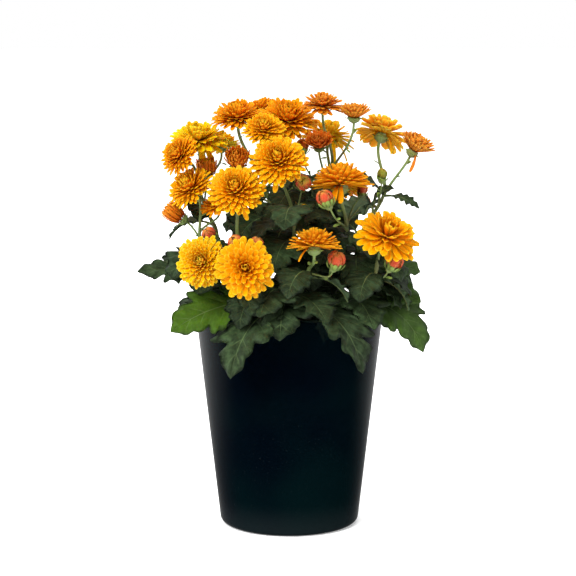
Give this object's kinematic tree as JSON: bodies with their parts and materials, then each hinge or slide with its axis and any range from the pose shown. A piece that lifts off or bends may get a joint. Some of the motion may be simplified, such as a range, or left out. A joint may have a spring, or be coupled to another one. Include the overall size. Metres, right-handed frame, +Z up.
{
  "type": "pot chrysanthemum",
  "caption": "Flowering pot chrysanthemum: layered orange blooms, half-open heads and coral buds above lobed green leaves, standing in a tapered glossy black pot of soil.",
  "frame": {"origin": "middle of the pot's base, on the surface that it stands on", "axes": "+Z up along the pot's axis; the side that the picture shows faces -Y, with +X to its right"},
  "size_m": [0.2473, 0.2426, 0.3696],
  "materials": {
    "pot_black": "gloss",
    "soil_brown": "matte",
    "leaf_green": "satin",
    "petal_orange": "matte",
    "petal_yellow": "matte",
    "petal_red": "matte"
  },
  "bodies": {
    "root": {"pot": "pot_black", "soil": "soil_brown", "stem_middle": "leaf_green", "stem_left": "leaf_green", "stem_right": "leaf_green", "stem_front": "leaf_green", "stem_back": "leaf_green", "bloom_top_left": "petal_orange", "bloom_top_back": "petal_yellow", "bloom_top_middle": "petal_orange", "bloom_top_front": "petal_yellow", "bloom_half_red": "petal_red", "bloom_top_right": "petal_orange", "bloom_cup_right": "petal_orange", "bloom_yellow_behind": "petal_yellow", "bloom_half_front": "petal_red", "bloom_front_big": "petal_orange", "bloom_left_high": "petal_yellow", "bloom_left_inner": "petal_yellow", "bloom_left_face": "petal_orange", "bloom_left_brush": "petal_orange", "bloom_left_side": "petal_orange", "bloom_left_tuck": "petal_orange", "bloom_left_cone": "petal_red", "bloom_left_behind": "petal_orange", "bloom_right_high": "petal_yellow", "bloom_right_far": "petal_red", "bloom_right_big": "petal_orange", "bloom_right_flat": "petal_orange", "bloom_right_behind": "petal_orange", "bloom_low_left": "petal_orange", "bloom_low_middle": "petal_orange", "bloom_left_big": "petal_orange", "bloom_middle_side": "petal_orange", "bloom_behind_a": "petal_orange", "bloom_behind_b": "petal_orange", "bloom_behind_c": "petal_orange", "bloom_behind_d": "petal_orange", "bloom_behind_e": "petal_yellow", "bud_top_dark": "petal_red", "bud_front_face": "petal_red", "bud_front_right": "petal_red", "bud_right_small": "petal_red", "bud_right_green": "petal_red", "bud_right_low": "petal_red", "bud_middle_low": "petal_red", "bud_left_low": "petal_red", "bud_left_middle": "petal_red", "bud_middle": "petal_red", "bud_behind_right": "petal_red"}
  },
  "joints": []
}
